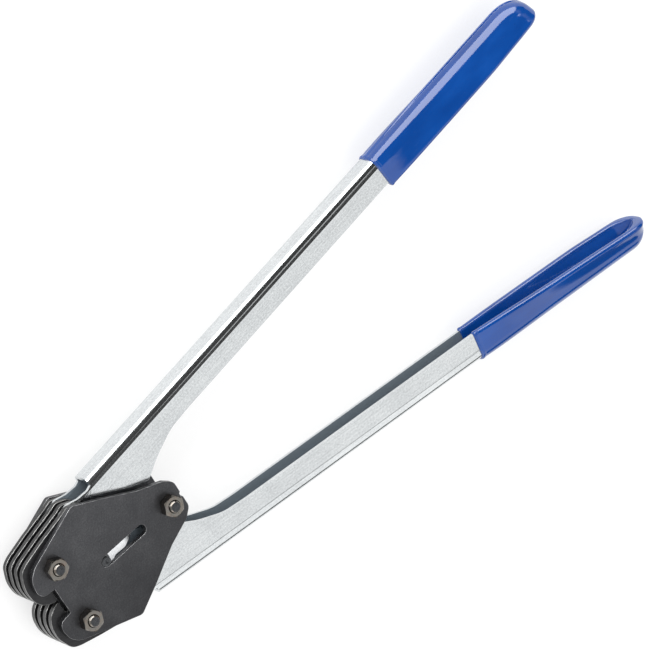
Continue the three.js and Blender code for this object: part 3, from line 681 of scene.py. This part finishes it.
def grip_section(u, g):
    """Closed ring of (v, z) points at u: outside over the web and down the walls, round the lips, and back inside."""
    rim, tip = g["rim"], g["tip"]
    d = u - rim
    grow = 0.62 + 0.38 * (1 - math.exp(-max(d, 0) / 9.0))
    bead = 0.42 * math.exp(-((d - 1.3) / 1.15) ** 2)
    edge = math.sqrt(max(0.0, 1 - (1 - min(d, 1.1) / 1.1) ** 2))
    coat = 0.06 + (g["coat"] * grow + bead) * edge
    coat_s = 0.06 + (g["side"] * grow + bead) * edge
    coat_i = 0.06 + (0.85 * grow + bead * 0.6) * edge
    th = float(np.interp(u, SPLAY[:, 0], SPLAY[:, 1])) * D2R
    lip = float(np.interp(u, LIP[:, 0], LIP[:, 1])) - g["drop"]
    free = lip + 0.94 + g["drop"]
    lip = free - (0.94 + g["drop"]) * edge - bead * 0.5
    vb = WEB_V - BEND_R
    c = 3.0

    def lean(v):
        dd = max(0.0, vb - v)
        return math.tan(th) * dd * dd / (dd + c) * (11 + c) / 11
    full = min(1.0, max(0.0, d / 55.0))
    vo, zo, R = WEB_V + coat, CH_HALF + coat_s, BEND_R + (coat + coat_s) / 2 + (g["ease"][0] + g["ease"][1] * full) * edge
    hv, zi, Ri = WEB_V - WALL - coat_i, CH_HALF - WALL - coat_i, 1.7
    out = []
    crown = (0.45 + 0.55 * full) * edge
    for t in np.linspace(0, 1, 7)[:-1]:                       # web, outside
        z = (zo - R) * t
        out.append((vo - 0.25 * edge + crown * (1 - t * t), z))
    for t in np.linspace(0, math.pi / 2, 15):                  # bend
        q = 2 / (2.0 - 0.32 * full)                            # a little flatter than round towards the tip
        out.append((vo - 0.25 * edge - R + R * max(0.0, math.cos(t)) ** q, zo - R + R * max(0.0, math.sin(t)) ** q))
    for i, (v, z) in enumerate(out):
        if v < vb:
            out[i] = (v, z + lean(v))
    zlo, zli = zo + lean(lip + 2), zi + lean(lip + 2)
    rl = min(2.3, 0.46 * (zlo - zli))
    vstart = min(out[-1][0], vb)
    vend = lip + rl
    for t in np.linspace(0, 1, 13)[1:]:                        # wall, outside
        v = vstart + (vend - vstart) * t
        out.append((v, zo + lean(v)))
    zc = out[-1][1] - rl
    for t in np.linspace(0, math.pi / 2, 8)[1:]:               # lip, outer quarter
        out.append((vend - rl * math.sin(t), zc + rl * math.cos(t)))
    n_out = len(out)
    # hollow side of the lip
    kh = (u - (tip - 20.5)) / 16.0
    sh = ellipse(kh)
    kz = (u - (tip - 19.0)) / 14.5
    sz = ellipse(kz)
    zin = zi + lean(vend)
    ri = rl
    inner = []
    for t in np.linspace(math.pi / 2, 0, 8):                   # lip, inner quarter
        inner.append((vend - ri * math.sin(t), zin + ri * (1 - math.cos(t))))
    hvv = hv
    for t in np.linspace(0, 1, 11)[1:]:                        # wall, inside
        v = vend + (hvv - Ri - vend) * t
        inner.append((v, zi + lean(v)))
    for t in np.linspace(0, math.pi / 2, 8)[1:]:               # inside bend
        inner.append((hvv - Ri + Ri * math.sin(t), zi - Ri + Ri * math.cos(t)))
    for t in np.linspace(0, 1, 5)[1:]:                         # web, inside
        inner.append((hvv, (zi - Ri) * (1 - t)))
    # the hollow shrinks to nothing before the tip
    shrunk = []
    for v, z in inner:
        shrunk.append((lip + (v - lip) * sh, z * sz))
    ring = out + shrunk
    # the whole section shrinks onto the tip's foremost point
    kw = (u - (tip - g["fall"])) / g["fall"]
    kl = (u - (tip - g["rise"])) / g["rise"]
    kp = (u - (tip - g["plan"][0])) / g["plan"][0]
    sw, sl, sp = ellipse(kw, 2.1), ellipse(kl, 2.2), ellipse(kp, g["plan"][1])
    half = []
    wide = max(z for v, z in ring)
    scale = min(1.0, (LIP_HALF + 0.2) / wide)
    for v, z in ring:
        vv = END_V + (v - END_V) * (sw if v > END_V else sl)
        half.append((vv, z * sp * scale if kp > 0 else z * scale))
    return half


def grip(which):
    g = GRIP[which]
    sgn = 1 if which == "upper" else -1
    rim, tip = g["rim"], g["tip"]
    us = [rim + a for a in (0, 0.06, 0.2, 0.42, 0.7, 1.05, 1.45, 1.9, 2.4, 3.0, 3.8, 5.0, 7.0, 10.0, 14.0)]
    us += list(np.arange(rim + 18, tip - 22, 4.0))
    us += list(np.arange(tip - 21, tip - 4.2, 0.9))
    us += [tip - 3.6 * (1 - math.sin(a)) for a in np.linspace(0, math.pi / 2, 12)[1:-1]]
    us = sorted(us) + [tip - 0.012]
    verts, rings = [], []
    for u in us:
        half = grip_section(u, g)
        # half runs web centre -> lip -> hollow centre; mirror for the far side, both centres shared
        full = [(v, z) for v, z in half] + [(v, -z) for v, z in half[-2:0:-1]]
        ids = []
        for v, z in full:
            ids.append(len(verts))
            verts.append((u * CA - v * SA, sgn * (u * SA + v * CA), z))
        rings.append(ids)
    n = len(rings[0])
    faces = []
    for a, b in zip(rings, rings[1:]):
        for k in range(n):
            k2 = (k + 1) % n
            faces.append((a[k], a[k2], b[k2], b[k]))
    m = (n + 2) // 2
    first = rings[0]
    # mouth: strips between the outside and the inside of the ring
    half_n = m
    for side_ids in ([first[i] for i in range(half_n)], [first[0]] + [first[n - i] for i in range(1, half_n - 1)] + [first[half_n - 1]]):
        i, j = 0, len(side_ids) - 1
        while j - i > 1:
            if (i + 1) / 1.0 <= (len(side_ids) - j) * (n_outer_share):
                faces.append((side_ids[i], side_ids[i + 1], side_ids[j]))
                i += 1
            else:
                faces.append((side_ids[i], side_ids[j - 1], side_ids[j]))
                j -= 1
    last = rings[-1]
    cen = len(verts)
    v, z = END_V, 0
    verts.append((tip * CA - v * SA, sgn * (tip * SA + v * CA), 0))
    for k in range(n):
        faces.append((last[k], last[(k + 1) % n], cen))
    ob = link(new_mesh(f"{which}_grip_dipped", verts, faces), f"{which}_grip_dipped")
    tidy(ob, 2e-6)
    ob.data.shade_smooth()
    return ob


n_outer_share = 40.0 / 30.0
for which, mat in (("upper", M_VINYL_U), ("lower", M_VINYL_L)):
    ob = grip(which)
    sub = ob.modifiers.new("fine", "SUBSURF")
    sub.levels = 1
    sub.render_levels = 1
    finish_piece(ob, f"{which}_grip", f"{which}_handle", mat)

# ------------------------------------------------------------------ floor, light, camera
fm = Nodes("floor_white")
fv = fm.noise(fm.obj, 3.0, 2, 0.5)
fm.put(Base_Color=fm.ramp(fv, [(0.3, (0.36, 0.36, 0.36)), (0.7, (0.375, 0.375, 0.375))]), Roughness=0.85, Specular_IOR_Level=0.0,
       Emission_Color=(1, 1, 1), Emission_Strength=0.66)
me = bpy.data.meshes.new("floor")
me.from_pydata([(-6, -6, -0.0002), (6, -6, -0.0002), (6, 6, -0.0002), (-6, 6, -0.0002)], [], [(0, 1, 2, 3)])
floor = link(me, "floor")
me.materials.append(fm.mat)

world = bpy.data.worlds.new("studio")
bpy.context.scene.world = world
world.use_nodes = True
wt = world.node_tree
wt.nodes.clear()


class WorldNodes(Nodes):
    def __init__(self, tree):
        self.t = tree


w = WorldNodes(wt)
co = wt.nodes.new("ShaderNodeTexCoord")
sep = wt.nodes.new("ShaderNodeSeparateXYZ")
wt.links.new(co.outputs["Generated"], sep.inputs[0])
X, Y, Z = sep.outputs


def near(vec, inner, outer):
    """1 within inner degrees of a direction, 0 beyond outer degrees."""
    dn = wt.nodes.new("ShaderNodeVectorMath")
    dn.operation = "DOT_PRODUCT"
    wt.links.new(co.outputs["Generated"], dn.inputs[0])
    dn.inputs[1].default_value = Vector(vec).normalized()
    return w.rng(dn.outputs["Value"], math.cos(outer * D2R), math.cos(inner * D2R))


def band(v, lo0, lo1, hi0, hi1):
    """1 between lo1 and hi0, falling to 0 at lo0 and hi1."""
    return w.math("MULTIPLY", w.rng(v, lo0, lo1), w.rng(v, hi1, hi0))


env = 0.035
wall = w.math("MULTIPLY", w.rng(Y, 0.60, 0.68), w.rng(Z, 0.60, 0.53))           # long soft box behind the tool
env = w.math("MULTIPLY_ADD", wall, 5.4, env)
key = band(Y, -0.66, -0.58, -0.36, -0.26)                                          # large soft box the flat faces mirror
env = w.math("MULTIPLY_ADD", key, 0.98, env)
side_box = band(Y, -0.90, -0.84, -0.66, -0.58)                                     # brighter box beside it
env = w.math("MULTIPLY_ADD", side_box, 1.15, env)
far = w.rng(Y, -0.93, -0.97)
env = w.math("MULTIPLY_ADD", far, 0.25, env)
over = w.math("MULTIPLY", w.math("MAXIMUM", w.rng(X, 0.14, 0.03), w.rng(X, 0.54, 0.66)), w.rng(Z, 0.30, 0.55))   # ceiling of the room
env = w.math("MAXIMUM", env, w.math("MULTIPLY", over, 0.62))
leftw = w.math("MULTIPLY", w.rng(X, -0.45, -0.70), w.rng(Z, 0.60, 0.30))
env = w.math("MULTIPLY_ADD", leftw, 0.55, env)
lp = wt.nodes.new("ShaderNodeLightPath")
soft = w.rng(Z, -0.2, 1.0, 0.80, 1.02, "LINEAR")
mixn = wt.nodes.new("ShaderNodeMix")
mixn.data_type = "FLOAT"
w.set(mixn.inputs[0], lp.outputs["Is Glossy Ray"]); w.set(mixn.inputs[2], soft); w.set(mixn.inputs[3], env)
env = mixn.outputs[0]
bg = wt.nodes.new("ShaderNodeBackground")
wt.links.new(env, bg.inputs["Strength"])
bg.inputs["Color"].default_value = (1.0, 1.0, 1.0, 1)
wo = wt.nodes.new("ShaderNodeOutputWorld")
wt.links.new(bg.outputs[0], wo.inputs["Surface"])


def area_light(name, loc, target, size, power, glossy=False):
    ld = bpy.data.lights.new(name, "AREA")
    ld.shape = "RECTANGLE"
    ld.size, ld.size_y = size
    ld.energy = power
    ob = bpy.data.objects.new(name, ld)
    bpy.context.scene.collection.objects.link(ob)
    ob.location = loc
    d = Vector(target) - Vector(loc)
    ob.rotation_euler = d.to_track_quat("-Z", "Y").to_euler()
    ob.visible_glossy = glossy
    return ob


area_light("key", (-0.3, 1.35, 0.75), (0.1, 0, 0), (1.2, 0.7), 12.0)
area_light("fill", (0.25, -0.25, 1.4), (0.05, 0, 0), (0.8, 0.8), 3.0)

cam_data = bpy.data.cameras.new("camera")
cam = bpy.data.objects.new("camera", cam_data)
bpy.context.scene.collection.objects.link(cam)
right = Vector((0.69565601, -0.47050961, 0.54284751))
up = Vector((0.62667524, 0.76689603, -0.13837854))
back = Vector((-0.35119917, 0.43645296, 0.82835256))
cam.matrix_world = Matrix((
    (right.x, up.x, back.x, -0.5434),
    (right.y, up.y, back.y, 0.8536),
    (right.z, up.z, back.z, 1.61905),
    (0, 0, 0, 1)))
cam_data.sensor_width = 36
cam_data.sensor_height = 36
cam_data.sensor_fit = "HORIZONTAL"
cam_data.lens = 3572.662648766464 / 650 * 36
cam_data.clip_start = 0.05
cam_data.clip_end = 50
bpy.context.scene.camera = cam
bpy.context.scene.view_settings.view_transform = "Standard"
bpy.context.scene.view_settings.look = "None"
